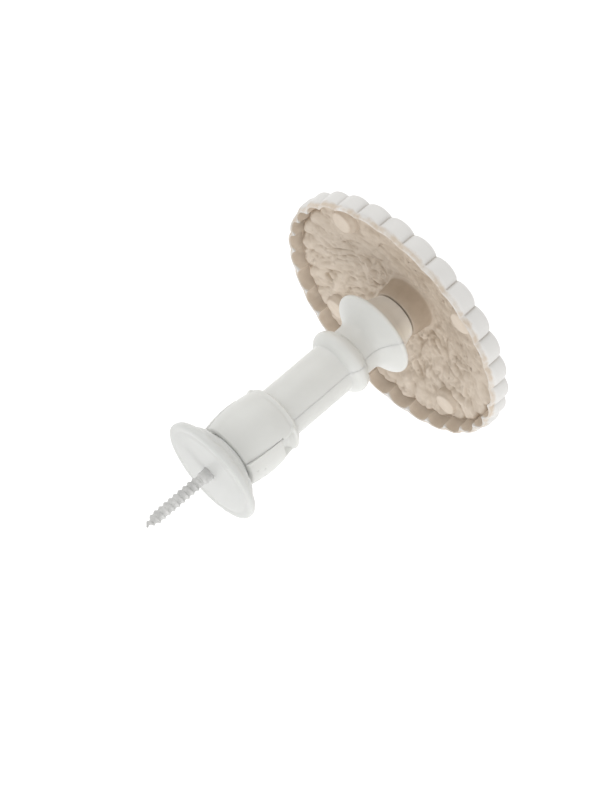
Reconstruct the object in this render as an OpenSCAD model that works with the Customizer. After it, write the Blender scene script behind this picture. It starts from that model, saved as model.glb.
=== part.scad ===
// Curtain holdback: a wall screw, a round wall plate with a locking stud,
// a turned post with two squeeze-release latches in its foot, and a cast
// scalloped rosette. Stations are measured along the axis of the post, which
// runs out of the wall along -Y; the wall face is at station wall_s.

/* [Wall plate] */
// Outer radius of the wall plate
plate_r = 24.3; // [22:0.1:27]
// Radius of the flat face that rests on the wall
plate_face_r = 19.4; // [17:0.1:19.6]
// Close-fitting hole for the wall screw's shank, radius
plate_hole_r = 2.81; // [2.78:0.01:2.84]

/* [Wall screw] */
// Length of the screw that stands out behind the plate
screw_out = 34.2; // [28:0.1:45]
// Outer radius of the wood thread
screw_thread_r = 2.75; // [2.4:0.05:2.8]
// Radius of the screw's plain shank
screw_shank_r = 2.75; // [2.7:0.01:2.75]
// Core radius of the wood thread
screw_core_r = 1.85; // [1.6:0.05:2.0]
// Pitch of the wood thread
screw_pitch = 2.6; // [2.2:0.1:3.0]
// Radius of the countersunk head
screw_head_r = 5.0; // [4.6:0.1:5.1]

/* [Locking stud] */
// Radius of the stud that the foot turns on
stud_r = 8.6; // [8.5:0.01:8.65]
// Depth of the latch groove in the stud
groove_depth = 1.1; // [0.9:0.05:1.3]
// Radial running clearance between the stud and the foot
run_gap = 0.06; // [0.04:0.01:0.1]

/* [Foot and latches] */
// Largest radius of the barrel-shaped foot
foot_r = 16.0; // [15.6:0.1:16.4]
// Depth by which the foot sits below the latches at its wall end
foot_drop = 1.5; // [0.6:0.1:1.8]
// Gap beside each latch, square to the window's side
latch_gap = 0.47; // [0.45:0.01:0.6]
// Half angle of the window for each latch, in degrees
window_half = 34.2; // [34:0.1:35]
// Radius of the hinge pin of each latch
pin_r = 0.8; // [0.7:0.05:0.9]

/* [Post] */
// Outer radius of the straight post
post_r = 11.5; // [11.2:0.1:11.55]
// Radius of the round bead
bead_r = 15.1; // [14:0.1:16]
// Radius of the trumpet flange
flange_r = 19.9; // [18:0.1:21]
// Wall thickness of the post's shells
shell_t = 2.4; // [2:0.1:3]
// Angle of the joint line between the two shells, in degrees
seam_angle = 145; // [120:1:170]

/* [Rosette] */
// Outer radius over the scallops
rosette_r = 61; // [58:0.5:64]
// Number of scallops round the edge
scallops = 29; // [24:1:32]
// Depth of the notches between the scallops
scallop_depth = 1.8; // [1.2:0.1:3]
// Thickness of the rosette's side wall at a scallop's middle
edge_w = 2.0; // [1.6:0.1:3]
// Radius of the central boss at its foot
boss_r = 12.6; // [12:0.1:13.5]
// Radius of the circle that the four standoffs are on
pad_circle_r = 47.7; // [44:0.1:48]
// Radius of each standoff
pad_r = 5.3; // [4:0.1:5.5]

/* [Fasteners] */
// Radius of the tie rod
rod_r = 3; // [3:0.5:3]
// Width across flats of the rod's nut
nut_af = 10; // [10:0.1:10]

/* [Hidden] */

// stations along the axis
wall_s = 2.7;          // the wall, where the plate's flat face rests
plate_top = 10.4;      // room-side face of the wall plate
stud_top = 27;         // end of the locking stud
foot_s0 = 13.2;        // wall end of the foot
foot_s1 = 40.8;        // post end of the foot
socket_s = 38;         // bottom of the foot's socket for the post
window_s1 = 32.2;      // post end of the latch windows
latch_s0 = 13.2;       // wall end of the latches
latch_s1 = 31.2;       // post end of the latches
latch_pin_s = 24;      // hinge pins
latch_pin_x = 11.4;
flange_s = 98.6;       // rosette-side face of the flange
hub_s1 = 110.1;        // end of the spacer hub
boss_s0 = 110.8;       // end face of the rosette's boss
rim_s0 = 106;          // back edge of the rosette
rim_s1 = 114.8;        // front edge of the rosette's side wall
pad_s0 = 110.0;        // end faces of the four standoffs
insert_s1 = 122.2;     // blind end of the threaded insert
groove_s0 = 15.0;
groove_s1 = 18.8;
hook_s0 = 15.6;
hook_s1 = 18.2;
spring_s = 28.9;        // latch springs
lip_r = 16.1;          // lip behind each finger scoop
cage_r = 8.6;          // tube round the nut
bore_clear = 0.2;

eps = 0.01;

// the axis of the part: local z is the station
module axial() { rotate([90, 0, 0]) translate([0, 0, -wall_s]) children(); }
// a turned solid from points [radius, station]
module turned(p) { axial() rotate_extrude($fn = 96) polygon(p); }
// a round bar or hole along the axis
module bar(r, s0, s1) { axial() translate([0, 0, s0]) cylinder(r = r, h = s1 - s0, $fn = 96); }

// nominal outer radius of the foot at a station
function barrel(s) = foot_r - 1.45 * pow(abs(s - 24.5) / (s < 24.5 ? 11.3 : 13.5), 1.7);
// radius of the foot beside the latches, tapered down to the wall
function barrel_low(s) = barrel(s) - foot_drop * max(0, (31 - s) / 17.8);
function ramp(a, b, n) = [for (i = [0:n]) a + (b - a) * i / n];

// a sector round +X between two stations, used for the latches and windows
// x0 moves its point away from the axis
module sector(half, r_out, s0, s1, x0 = 0) {
    axial() translate([x0, 0, s0]) linear_extrude(s1 - s0)
        polygon([[0, 0], [r_out * cos(half), -r_out * sin(half)],
                 [r_out * 1.3, -r_out * sin(half)], [r_out * 1.3, r_out * sin(half)],
                 [r_out * cos(half), r_out * sin(half)]]);
}

// ---- wall screw ----------------------------------------------------------
module wall_screw() color([0.72, 0.72, 0.72]) difference() {
    tip = wall_s - screw_out;
    n = floor((-tip - 5) / screw_pitch);
    turned(concat(
        [[0, tip], [0.35, tip], [screw_core_r * 0.8, tip + 4.2]],
        [for (i = [0:n - 1], k = [0:2])
            let (s = tip + 4.6 + i * screw_pitch,
                 c = min(screw_core_r, screw_core_r * (0.85 + 0.12 * i)),
                 t = min(screw_thread_r, screw_thread_r * (0.8 + 0.1 * i)))
            k == 0 ? [c, s + 0.5] : k == 1 ? [t, s + 1.1] : [c, s + 1.9]],
        [[screw_core_r, -2.0], [screw_shank_r, -1.0], [screw_shank_r, 10.9],
         [screw_head_r, 13.2], [screw_head_r, 13.7], [0, 13.7]]));
    // cross recess
    for (a = [45, 135]) axial() rotate([0, 0, a]) translate([-2.4, -0.55, 11.4]) cube([4.8, 1.1, 3]);
}

// ---- wall plate ----------------------------------------------------------
module wall_plate() color([0.94, 0.94, 0.93]) turned([
    [plate_hole_r, wall_s], [plate_face_r, wall_s], [plate_face_r + 0.8, 3.0],
    [plate_face_r + 1.6, 3.15], [plate_face_r + 2.4, 2.95], [plate_r - 1.6, 2.8],
    [plate_r - 0.9, 2.9], [plate_r - 0.3, 3.2], [plate_r, 3.8], [plate_r, 4.6],
    [plate_r - 0.3, 5.4], [plate_r - 1.0, 6.2], [plate_r - 2.0, 6.8], [plate_r - 3.1, 7.2],
    [plate_r - 4.1, 7.5], [plate_r - 4.9, 7.8], [plate_r - 5.3, 8.5], [plate_r - 5.7, 9.4],
    [plate_r - 6.8, plate_top],
    // neck that fills the gap under the foot
    [13.1, plate_top], [12.9, 10.6], [12.9, 12.0], [12.1, 12.9], [11.6, 12.9],
    [11.6, 7.4], [plate_hole_r, 7.4]]);

// ---- locking stud --------------------------------------------------------
module lock_stud() color([0.9, 0.9, 0.88]) turned([
    [3.2, 7.4], [11.4, 7.4], [11.4, 10.0], [11.0, 10.4], [9.6, 10.4], [9.6, 12.6],
    [stud_r, 12.9], [stud_r, groove_s0], [stud_r - groove_depth, groove_s0 + 0.2],
    [stud_r - groove_depth, groove_s1 - 0.2], [stud_r, groove_s1],
    [stud_r, stud_top - 0.8], [stud_r - 0.8, stud_top], [5.6, stud_top], [5.6, 13.4],
    [3.2, 10.9]]);

// ---- foot ----------------------------------------------------------------
module foot_barrel() color([0.93, 0.93, 0.92]) difference() {
    union() {
        turned(concat(
            [[stud_r + run_gap, foot_s0 + 0.3], [stud_r + run_gap + 0.3, foot_s0]],
            [[barrel_low(foot_s0) - 0.7, foot_s0]],
            [for (s = ramp(foot_s0 + 0.6, 37.6, 14)) [barrel_low(s), s]],
            [[14.3, 38.4], [14.2, 39.8], [13.8, 40.5], [13.1, foot_s1],
             [post_r + 0.1, foot_s1], [post_r + 0.1, socket_s], [rod_r + 0.2, socket_s],
             [rod_r + 0.2, 35.2], [6.4, 35.2], [6.4, stud_top + 0.3],
             [stud_r + run_gap, stud_top + 0.3]]));
        // lip that ends each finger scoop
        for (a = [0, 180]) rotate([0, a, 0]) intersection() {
            turned([[12, 36.0], [14.6, 36.4], [lip_r - 0.5, 37.3], [lip_r, 37.9], [lip_r, 38.4],
                    [lip_r - 0.5, 38.9], [13.2, 39.2], [12, 39.2]]);
            sector(window_half, 20, 35, 40);
        }
    }
    for (a = [0, 180]) rotate([0, a, 0]) {
        // window for the latch, open at the wall end
        difference() {
            sector(window_half, 20, foot_s0 - 1, window_s1);
            bar(cage_r, stud_top + 0.3, window_s1 + 1);
        }
        // finger scoop behind the latch
        difference() {
            sector(window_half - 6, 20, window_s1 - 0.5, 38);
            turned([[0, 30], [12.2, 30], [12.2, window_s1 + 0.6], [11.9, 34.6],
                    [12.6, 36.2], [14.4, 37.0], [lip_r - 0.5, 37.4], [lip_r + 0.5, 37.7],
                    [lip_r + 0.5, 42], [0, 42]]);
        }
        // hole for the hinge pin
        axial() translate([latch_pin_x, -9.4, latch_pin_s]) rotate([-90, 0, 0])
            cylinder(r = pin_r, h = 18.8, $fn = 32);
    }
}

// ---- release latches -----------------------------------------------------
// the right-hand latch, on +X; its hook points at the axis
module latch() difference() {
    union() {
        intersection() {
            turned(concat([[9.9, latch_s0 + 0.3], [10.2, latch_s0], [barrel(latch_s0) - 0.7, latch_s0]],
                [for (s = ramp(latch_s0 + 0.6, latch_s1 - 0.9, 12)) [barrel(s) + 0.1, s]],
                [[barrel(latch_s1) - 0.8, latch_s1], [9.9, latch_s1]]));
            sector(window_half, 20, latch_s0 - 1, latch_s1 + 1, latch_gap / sin(window_half));
        }
        // hook that drops into the groove of the stud
        intersection() {
            turned([[stud_r - 0.42, hook_s0 + 0.5], [stud_r - 0.12, hook_s0], [10.4, hook_s0 - 0.4],
                    [10.4, hook_s1], [stud_r - 0.42, hook_s1]]);
            sector(20, 20, hook_s0 - 2, hook_s1 + 2);
        }
    }
    // bore for the hinge pin
    axial() translate([latch_pin_x, -12, latch_pin_s]) rotate([-90, 0, 0])
        cylinder(r = pin_r + 0.05, h = 24, $fn = 32);
    // pocket for the spring
    axial() translate([9, 0, spring_s]) rotate([0, 90, 0]) cylinder(r = 1.75, h = 3.6, $fn = 32);
    // two grip dimples on each flank
    for (m = [-1, 1], d = [[16.2, 14.3], [19.4, 8.3]])
        axial() rotate([0, 0, m * d[1]]) translate([barrel(d[0]) + 0.35, 0, d[0]])
            sphere(r = 0.7, $fn = 24);
}
module release_latch_right() color([0.95, 0.95, 0.94]) latch();
module release_latch_left() color([0.95, 0.95, 0.94]) rotate([0, 180, 0]) latch();

module latch_pin() axial() translate([latch_pin_x, -9.4, latch_pin_s]) rotate([-90, 0, 0])
    cylinder(r = pin_r, h = 18.8, $fn = 32);
module latch_pin_right() color([0.7, 0.7, 0.72]) latch_pin();
module latch_pin_left() color([0.7, 0.7, 0.72]) rotate([0, 180, 0]) latch_pin();

// compression spring between the nut cage and the latch
module latch_spring() axial() translate([cage_r + 0.05, 0, spring_s]) rotate([0, 90, 0])
    rotate_extrude($fn = 48) translate([0.95, 0])
        polygon([[0, 0], [0.5, 0], [0.5, 3.9], [0, 3.9]]);
module latch_spring_right() color([0.6, 0.6, 0.62]) latch_spring();
module latch_spring_left() color([0.6, 0.6, 0.62]) rotate([0, 180, 0]) latch_spring();

// ---- post shells ---------------------------------------------------------
module post_body() turned([
    [rod_r + 0.2, socket_s + 0.05], [post_r, socket_s + 0.05], [post_r, 73.3],
    [post_r + 0.5, 73.9], [bead_r - 1.4, 75.2], [bead_r - 0.4, 76.5], [bead_r, 78.1],
    [bead_r - 0.4, 79.7], [bead_r - 1.4, 81.1], [post_r + 0.4, 82.4], [post_r - 0.2, 83.0],
    [post_r - 0.3, 88.2], [post_r + 0.6, 90.6], [post_r + 2.9, 93.0], [post_r + 5.9, 95.2],
    [flange_r - 0.6, 96.5], [flange_r, 97.4], [flange_r - 0.3, 98.3], [flange_r - 1.2, flange_s],
    [rod_r + 0.2, flange_s], [rod_r + 0.2, 94.6], [post_r - shell_t, 94.6],
    [post_r - shell_t, 41], [rod_r + 0.2, 41]]);

module half_space(up) axial() rotate([0, 0, seam_angle]) translate([-30, up ? -60 : 0, 30])
    cube([60, 60, 80]);

// moulded pegs across the joint, [side, station]
peg_at = [[1, 50], [-1, 50], [1, 88], [-1, 88]];
module pegs(r, l) for (p = peg_at)
    axial() rotate([0, 0, seam_angle]) translate([p[0] * (post_r - shell_t / 2), -l, p[1]])
        rotate([-90, 0, 0]) cylinder(r = r, h = l, $fn = 24);

// the shell that faces up and away from the wall's left side
module post_shell_upper() color([0.95, 0.95, 0.94]) difference() {
    intersection() { post_body(); half_space(true); }
    pegs(0.55, 1.6);
}
module post_shell_lower() color([0.95, 0.95, 0.94]) union() {
    intersection() { post_body(); half_space(false); }
    intersection() {
        translate([0, 0, 0]) pegs(0.5, 1.4);
        half_space(true);
    }
    pegs_root();
}
// short roots that tie each peg into its own shell
module pegs_root() for (p = peg_at)
    axial() rotate([0, 0, seam_angle]) translate([p[0] * (post_r - shell_t / 2), -0.01, p[1]])
        rotate([-90, 0, 0]) cylinder(r = 0.5, h = 0.5, $fn = 24);

// ---- tie rod and its nut -------------------------------------------------
module tie_rod() color([0.7, 0.7, 0.7]) turned([
    [0, 28.2], [rod_r - 0.6, 28.2], [rod_r, 28.8], [rod_r, 118.9], [rod_r - 0.6, 119.5], [0, 119.5]]);
module rod_nut() color([0.75, 0.75, 0.74]) difference() {
    axial() translate([0, 0, 28.8]) intersection() {
        cylinder(r = nut_af / 2 / cos(30), h = 4.4, $fn = 6);
        cylinder(r = 6.1, h = 4.4, $fn = 64);
    }
    bar(rod_r + 0.05, 28, 34);
}
module rod_spring_washer() color([0.66, 0.66, 0.66]) difference() {
    bar(5.0, 33.2, 34.2);
    bar(rod_r + 0.15, 33, 35);
    axial() translate([0, -0.35, 33]) cube([6, 0.7, 2]);
}
module rod_washer() color([0.78, 0.78, 0.77]) difference() {
    bar(6.1, 34.2, 35.2);
    bar(rod_r + 0.2, 34, 36);
}

// ---- spacer, washer, insert ----------------------------------------------
module spacer_hub() color([0.93, 0.92, 0.9]) turned([
    [rod_r + 0.2, flange_s], [15.6, flange_s], [15.5, 99.2], [14.9, 100.6], [14.0, 102.3],
    [13.0, 104.0], [12.2, 105.8], [11.5, 107.9], [11.0, 109.8], [10.7, hub_s1],
    [rod_r + 0.2, hub_s1]]);
module rubber_washer() color([0.08, 0.08, 0.08]) difference() {
    bar(10.2, hub_s1, hub_s1 + 0.4);
    bar(rod_r + 0.2, hub_s1 - 1, hub_s1 + 2);
}
module threaded_insert() color([0.8, 0.66, 0.32]) difference() {
    turned([[0, boss_s0 + 0.2], [5.6, boss_s0 + 0.2], [5.6, boss_s0 + 1.2], [4.6, boss_s0 + 1.2],
            [4.6, 114.8], [4.2, 115.2], [4.2, 116.0], [4.6, 116.4], [4.6, insert_s1], [0, insert_s1]]);
    bar(rod_r + 0.05, boss_s0 - 1, 120.8);
}

// ---- rosette -------------------------------------------------------------
lobe_phase = 0.1;      // angle of one scallop's middle
pad_phase = 46.9;      // angle of the first standoff
// scalloped outline of radius r: round lobes that meet in notches
module scallop_outline(r, depth) {
    step = 360 / scallops;
    notch = r - depth;
    dx = r - notch * cos(step / 2);
    dy = notch * sin(step / 2);
    lobe = (dx * dx + dy * dy) / (2 * dx);
    circle(r = notch - 0.1, $fn = 108);
    for (i = [0:scallops - 1])
        rotate(lobe_phase + i * step) translate([r - lobe, 0]) circle(r = lobe, $fn = 64);
}
// a scalloped disc between two stations
module scallop_disc(r, depth, s0, s1) {
    axial() translate([0, 0, s0]) linear_extrude(s1 - s0) scallop_outline(r, depth);
}
module rosette() color([0.84, 0.77, 0.68]) difference() {
    union() {
        difference() {
            union() {
                scallop_disc(rosette_r - 0.8, scallop_depth - 0.2, rim_s0, rim_s0 + 2.5);
                scallop_disc(rosette_r, scallop_depth, rim_s0 + 2, rim_s1);
                scallop_disc(rosette_r - 1.7, scallop_depth - 0.2, rim_s1 - 0.5, rim_s1 + 1.4);
                turned([[0, rim_s1 - 2], [rosette_r - 4.4, rim_s1 - 2], [rosette_r - 4.4, rim_s1 + 1.6],
                        [rosette_r - 5.8, 117.5], [rosette_r - 9, 118.6], [rosette_r - 14, 119.6],
                        [rosette_r - 22, 121.6], [30, 123.0], [24, 123.8], [16, 125.6],
                        [14, 127.4], [9, 129.0], [4, 129.8], [0, 130.0]]);
            }
            // hollow back: a dish, with a gutter inside the side wall
            turned([[0, rim_s0 - 1], [rosette_r - 6.5, rim_s0 - 1], [rosette_r - 6.5, 111.6],
                    [50, 112.4], [44, 113.9], [34, 116.6], [20, 119.8],
                    [boss_r - 1, 121.0], [0, 121.0]]);
            difference() {
                scallop_disc(rosette_r - edge_w, scallop_depth + 0.6, rim_s0 - 1, 113.2);
                bar(rosette_r - 6.6, 111.6, 114);
            }
        }
        turned([[0, 121.4], [boss_r + 0.8, 121.4], [boss_r, 120.2], [boss_r - 0.2, 117],
                [boss_r - 0.5, 112.4], [boss_r - 1.2, boss_s0 + 0.3], [boss_r - 1.7, boss_s0],
                [0, boss_s0]]);
        for (i = [0:3]) axial() rotate([0, 0, pad_phase + i * 90])
            translate([pad_circle_r, 0, pad_s0]) cylinder(r = pad_r, h = 116 - pad_s0, $fn = 48);
    }
    // seat of the threaded insert
    bar(5.6, boss_s0 - 1, boss_s0 + 1.2);
    bar(4.6, boss_s0, insert_s1);
}

wall_screw();
wall_plate();
lock_stud();
foot_barrel();
release_latch_left();
release_latch_right();
latch_pin_left();
latch_pin_right();
latch_spring_left();
latch_spring_right();
post_shell_upper();
post_shell_lower();
tie_rod();
rod_nut();
rod_washer();
rod_spring_washer();
spacer_hub();
rubber_washer();
threaded_insert();
rosette();
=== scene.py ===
# Looks of the curtain holdback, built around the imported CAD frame.
import bpy, bmesh, math
import numpy as np
from mathutils import Matrix, Vector

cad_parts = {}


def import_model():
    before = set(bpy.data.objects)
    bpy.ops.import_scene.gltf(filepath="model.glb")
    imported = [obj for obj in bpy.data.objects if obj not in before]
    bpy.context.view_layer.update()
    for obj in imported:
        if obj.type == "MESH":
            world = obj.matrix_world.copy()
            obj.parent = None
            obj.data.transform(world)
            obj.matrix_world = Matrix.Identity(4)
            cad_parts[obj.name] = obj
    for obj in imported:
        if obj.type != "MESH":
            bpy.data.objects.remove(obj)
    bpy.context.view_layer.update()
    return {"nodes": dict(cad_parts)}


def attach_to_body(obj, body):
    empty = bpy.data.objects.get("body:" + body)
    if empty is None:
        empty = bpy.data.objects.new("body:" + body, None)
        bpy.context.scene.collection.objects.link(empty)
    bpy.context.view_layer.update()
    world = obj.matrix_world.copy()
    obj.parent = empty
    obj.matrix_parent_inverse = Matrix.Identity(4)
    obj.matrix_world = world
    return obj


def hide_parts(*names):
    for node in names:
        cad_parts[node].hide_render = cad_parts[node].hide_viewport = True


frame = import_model()
scene = bpy.context.scene
nodes = frame["nodes"]
MM = 0.001

# ------------------------------------------------------------------ camera
cam_data = bpy.data.cameras.new("camera")
cam = bpy.data.objects.new("camera", cam_data)
scene.collection.objects.link(cam)
AX, PHI = math.radians(40.34), math.radians(69.26)   # axis direction in the picture, and from the line of sight
FPX, PX, PY, DEPTH, RIM_S = 1937.96, 388.86, 320.60, 819.51, 107.0
ry, qy, wy = -math.sin(PHI) * math.cos(AX), -math.sin(PHI) * math.sin(AX), -math.cos(PHI)
rx = -math.sqrt(1 - ry * ry)
wx = -wy * ry / rx
wz = -math.sqrt(1 - wx * wx - wy * wy)
r_ = Vector((rx, ry, 0)); w_ = Vector((wx, wy, wz)); q_ = r_.cross(w_)
if q_.z < 0:
    q_.negate()
WALL_S = 2.7                                          # station of the wall face
rim_c = Vector((0, WALL_S - RIM_S, 0))
loc = rim_c - r_ * ((PX - 300) / FPX * DEPTH) - q_ * (-(PY - 400) / FPX * DEPTH) - w_ * DEPTH
cam.matrix_world = Matrix(((r_.x, q_.x, -w_.x, loc.x * MM), (r_.y, q_.y, -w_.y, loc.y * MM),
                           (r_.z, q_.z, -w_.z, loc.z * MM), (0, 0, 0, 1)))
cam_data.sensor_width = 36
cam_data.lens = 36 * FPX / 800
cam_data.clip_start, cam_data.clip_end = 0.02, 20
scene.camera = cam

# ------------------------------------------------------------- mesh helpers
def world(P):
    """local (x, y, station) in mm to the row frame in metres; the wall is at station WALL_S"""
    P = np.asarray(P, float)
    return np.stack([P[..., 0], WALL_S - P[..., 2], P[..., 1]], -1) * MM


def make(name, P, quads=(), tris=(), ngons=(), sharp=40, weld=0.0):
    me = bpy.data.meshes.new(name)
    faces = []
    if len(quads):
        faces += np.asarray(quads).tolist()
    if len(tris):
        faces += np.asarray(tris).tolist()
    faces += [list(n) for n in ngons]
    me.from_pydata(world(P).tolist(), [], faces)
    bm = bmesh.new()
    bm.from_mesh(me)
    if weld:
        bmesh.ops.remove_doubles(bm, verts=bm.verts, dist=weld * MM)
        bmesh.ops.dissolve_degenerate(bm, dist=1e-7, edges=bm.edges)
    bmesh.ops.recalc_face_normals(bm, faces=bm.faces)
    bm.to_mesh(me)
    bm.free()
    finish_mesh(me, sharp)
    ob = bpy.data.objects.new(name, me)
    scene.collection.objects.link(ob)
    return ob


def finish_mesh(me, sharp=40):
    me.polygons.foreach_set("use_smooth", [True] * len(me.polygons))
    me.set_sharp_from_angle(angle=math.radians(sharp))
    me.update()


def grid(nv, nu, wrap_u=True, wrap_v=False, base=0):
    i = np.arange(nu if wrap_u else nu - 1)
    j = np.arange(nv if wrap_v else nv - 1)
    J, I = np.meshgrid(j, i, indexing="ij")
    a = base + J * nu + I
    b = base + J * nu + (I + 1) % nu
    c = base + ((J + 1) % nv) * nu + (I + 1) % nu
    d = base + ((J + 1) % nv) * nu + I
    return np.stack([a, b, c, d], -1).reshape(-1, 4)


def join(name, obs, sharp=40):
    """one mesh out of several closed ones"""
    bm = bmesh.new()
    for o in obs:
        bm.from_mesh(o.data)
    me = bpy.data.meshes.new(name)
    bm.to_mesh(me)
    bm.free()
    for o in obs:
        bpy.data.objects.remove(o)
    finish_mesh(me, sharp)
    ob = bpy.data.objects.new(name, me)
    scene.collection.objects.link(ob)
    return ob


def boolean(ob, cutters, op="DIFFERENCE", sharp=40):
    for c in cutters:
        m = ob.modifiers.new("cut", "BOOLEAN")
        m.object, m.operation, m.solver = c, op, "EXACT"
    bpy.context.view_layer.update()
    dg = bpy.context.evaluated_depsgraph_get()
    me = bpy.data.meshes.new_from_object(ob.evaluated_get(dg))
    ob.modifiers.clear()
    ob.data = me
    for c in cutters:
        bpy.data.objects.remove(c)
    finish_mesh(me, sharp)
    return ob


def arc_corner(p0, p1, p2, r, n=7):
    """points of a fillet of radius r at corner p1"""
    p0, p1, p2 = map(lambda p: np.array(p, float), (p0, p1, p2))
    a, b = p0 - p1, p2 - p1
    la, lb = np.linalg.norm(a), np.linalg.norm(b)
    a, b = a / la, b / lb
    ang = math.acos(max(-1, min(1, float(a @ b))))
    if ang > math.radians(178) or ang < 1e-3 or r <= 0:
        return [p1]
    d = min(r / math.tan(ang / 2), la * 0.49, lb * 0.49)
    r = d * math.tan(ang / 2)
    c = p1 + (a + b) / np.linalg.norm(a + b) * (r / math.sin(ang / 2))
    s, e = p1 + a * d, p1 + b * d
    out = []
    for t in np.linspace(0, 1, n):
        v = (s - c) * math.sin((1 - t) * (math.pi - ang)) + (e - c) * math.sin(t * (math.pi - ang))
        out.append(c + v / math.sin(math.pi - ang))
    return out


def rounded(pts, closed=False):
    """polyline (R, s, fillet) with its corners rounded"""
    n = len(pts)
    out = []
    for i, p in enumerate(pts):
        r = p[2] if len(p) > 2 else 0
        if (i in (0, n - 1) and not closed) or r == 0:
            out.append(np.array(p[:2], float))
            continue
        out += arc_corner(pts[i - 1][:2], p[:2], pts[(i + 1) % n][:2], r)
    return np.array(out)


def spline(pts, n=8):
    """Catmull-Rom through the points"""
    P = np.array(pts, float)
    P = np.vstack([2 * P[0] - P[1], P, 2 * P[-1] - P[-2]])
    out = []
    for i in range(1, len(P) - 2):
        p0, p1, p2, p3 = P[i - 1], P[i], P[i + 1], P[i + 2]
        d = [max(1e-6, np.linalg.norm(b - a) ** 0.5) for a, b in ((p0, p1), (p1, p2), (p2, p3))]
        m1 = (p1 - p0) / d[0] - (p2 - p0) / (d[0] + d[1]) + (p2 - p1) / d[1]
        m2 = (p2 - p1) / d[1] - (p3 - p1) / (d[1] + d[2]) + (p3 - p2) / d[2]
        m1, m2 = m1 * d[1], m2 * d[1]
        for t in np.linspace(0, 1, n, endpoint=False):
            out.append((2 * t**3 - 3 * t**2 + 1) * p1 + (t**3 - 2 * t**2 + t) * m1 + (-2 * t**3 + 3 * t**2) * p2 + (t**3 - t**2) * m2)
    out.append(P[-2])
    return np.array(out)


def densify(P, step, closed=False):
    P = np.asarray(P, float)
    Q = np.vstack([P, P[:1]]) if closed else P
    out = [Q[0]]
    for a, b in zip(Q[:-1], Q[1:]):
        L = np.linalg.norm(b - a)
        if L < 1e-6:
            continue
        k = max(1, int(math.ceil(L / step)))
        for t in range(1, k + 1):
            out.append(a + (b - a) * t / k)
    out = np.array(out)
    return out[:-1] if closed else out


def revolve(name, prof, nu=160, closed=True, step=1.2, warp=None, sharp=40, a0=0.0):
    """turned piece. closed: the profile is a loop round a bore; open: it starts and ends on the axis"""
    prof = densify(prof, step, closed)
    th = np.arange(nu) / nu * 2 * math.pi + a0
    if closed:
        R, S = prof[:, :1] + 0 * th, prof[:, 1:] + 0 * th
        if warp:
            R, S = warp(R, S, th + 0 * R)
        P = np.stack([R * np.cos(th), R * np.sin(th), S], -1)
        return make(name, P.reshape(-1, 3), grid(len(prof), nu, True, True), sharp=sharp)
    p0, p1, prof = prof[0], prof[-1], prof[1:-1]
    R, S = prof[:, :1] + 0 * th, prof[:, 1:] + 0 * th
    if warp:
        R, S = warp(R, S, th + 0 * R)
    P = np.stack([R * np.cos(th), R * np.sin(th), S], -1).reshape(-1, 3)
    nv = len(prof)
    P = np.vstack([P, [0, 0, p0[1]], [0, 0, p1[1]]])
    i = np.arange(nu)
    t0 = np.stack([np.full(nu, nv * nu), (i + 1) % nu, i], -1)
    b = (nv - 1) * nu
    t1 = np.stack([np.full(nu, nv * nu + 1), b + i, b + (i + 1) % nu], -1)
    return make(name, P, grid(nv, nu), np.vstack([t0, t1]), sharp=sharp)


def loft(name, rows, sharp=40, cap=True):
    """rows of closed loops, capped flat at both ends"""
    rows = np.asarray(rows, float)
    nv, nu = rows.shape[:2]
    ng = [list(range(nu))[::-1], list(range((nv - 1) * nu, nv * nu))] if cap else []
    return make(name, rows.reshape(-1, 3), grid(nv, nu), ngons=ng, sharp=sharp)


def attach(ob, body, slot, *reps):
    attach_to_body(ob, body)
    if reps:
        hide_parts(*reps)
    return ob


# -------------------------------------------------------------------- noise
def lattice(u, v, nu, seed, nv=64):
    """smooth value noise, periodic in u with nu cells"""
    rng = np.random.default_rng(seed)
    G = rng.random((nv, nu))
    iu, iv = np.floor(u).astype(int), np.floor(v).astype(int)
    fu, fv = u - iu, v - iv
    fu, fv = fu * fu * fu * (fu * (fu * 6 - 15) + 10), fv * fv * fv * (fv * (fv * 6 - 15) + 10)
    g = lambda a, b: G[b % nv, a % nu]
    return ((g(iu, iv) * (1 - fu) + g(iu + 1, iv) * fu) * (1 - fv)
            + (g(iu, iv + 1) * (1 - fu) + g(iu + 1, iv + 1) * fu) * fv)


def noise_xy(x, y, scale, seed, octaves=3):
    out, amp, tot = 0, 1.0, 0
    for k in range(octaves):
        c, s = math.cos(0.7 * k + 0.3), math.sin(0.7 * k + 0.3)
        out = out + amp * lattice((x * c - y * s) / scale + 500, (x * s + y * c) / scale + 500, 1024, seed + k, 1024)
        tot += amp
        amp *= 0.5
        scale *= 0.5
    return out / tot


def sstep(a, b, x):
    t = np.clip((x - a) / (b - a), 0, 1)
    return t * t * (3 - 2 * t)


# ---------------------------------------------------------------- materials
def new_mat(name):
    m = bpy.data.materials.new(name)
    m.use_nodes = True
    nt = m.node_tree
    b = nt.nodes["Principled BSDF"]
    return m, nt, b


def add(nt, kind, **kw):
    n = nt.nodes.new(kind)
    for k, v in kw.items():
        if k in n.inputs.keys():
            n.inputs[k].default_value = v
        else:
            setattr(n, k, v)
    return n


def ramp(nt, stops):
    n = nt.nodes.new("ShaderNodeValToRGB")
    e = n.color_ramp.elements
    while len(e) < len(stops):
        e.new(0.5)
    for el, (p, c) in zip(e, stops):
        el.position = p
        el.color = (*c, 1) if len(c) == 3 else c
    return n


def obj_noise(nt, scale, detail=4, rough=0.55, dist=0.0, vec=None):
    tc = nt.nodes.get("coords") or nt.nodes.new("ShaderNodeTexCoord")
    tc.name = "coords"
    n = nt.nodes.new("ShaderNodeTexNoise")
    n.inputs["Scale"].default_value = scale
    n.inputs["Detail"].default_value = detail
    n.inputs["Roughness"].default_value = rough
    n.inputs["Distortion"].default_value = dist
    nt.links.new(vec or tc.outputs["Object"], n.inputs["Vector"])
    return n


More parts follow.
